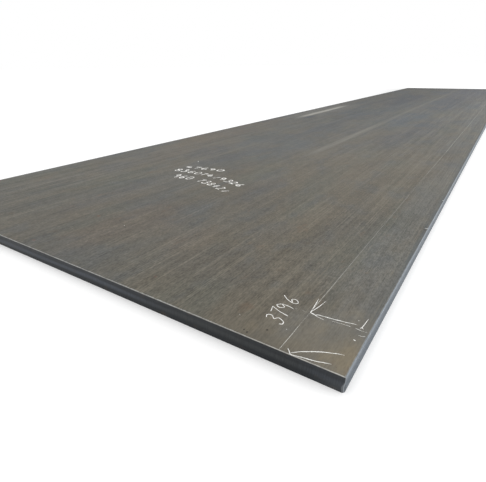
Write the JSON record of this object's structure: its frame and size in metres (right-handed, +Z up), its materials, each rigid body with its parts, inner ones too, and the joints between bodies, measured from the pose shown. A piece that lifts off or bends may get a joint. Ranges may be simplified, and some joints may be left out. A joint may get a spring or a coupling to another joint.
{
  "type": "steel plate",
  "caption": "Long, thick hot-rolled steel plate with flame-cut edges and one bruised corner, lying flat.",
  "frame": {"origin": "middle of the underside, on the floor that the plate lies on", "axes": "+Y along the length, away from the marked end; +X across the width, towards the edge with the bruised corner; +Z up, through the thickness"},
  "size_m": [2.5, 12.41, 0.05],
  "materials": {
    "mill_scale_steel": "satin mill scale, fine streaks along the rolling direction, bluish flame-cut edges"
  },
  "bodies": {
    "root": {"steel_plate": "mill_scale_steel"}
  },
  "joints": []
}
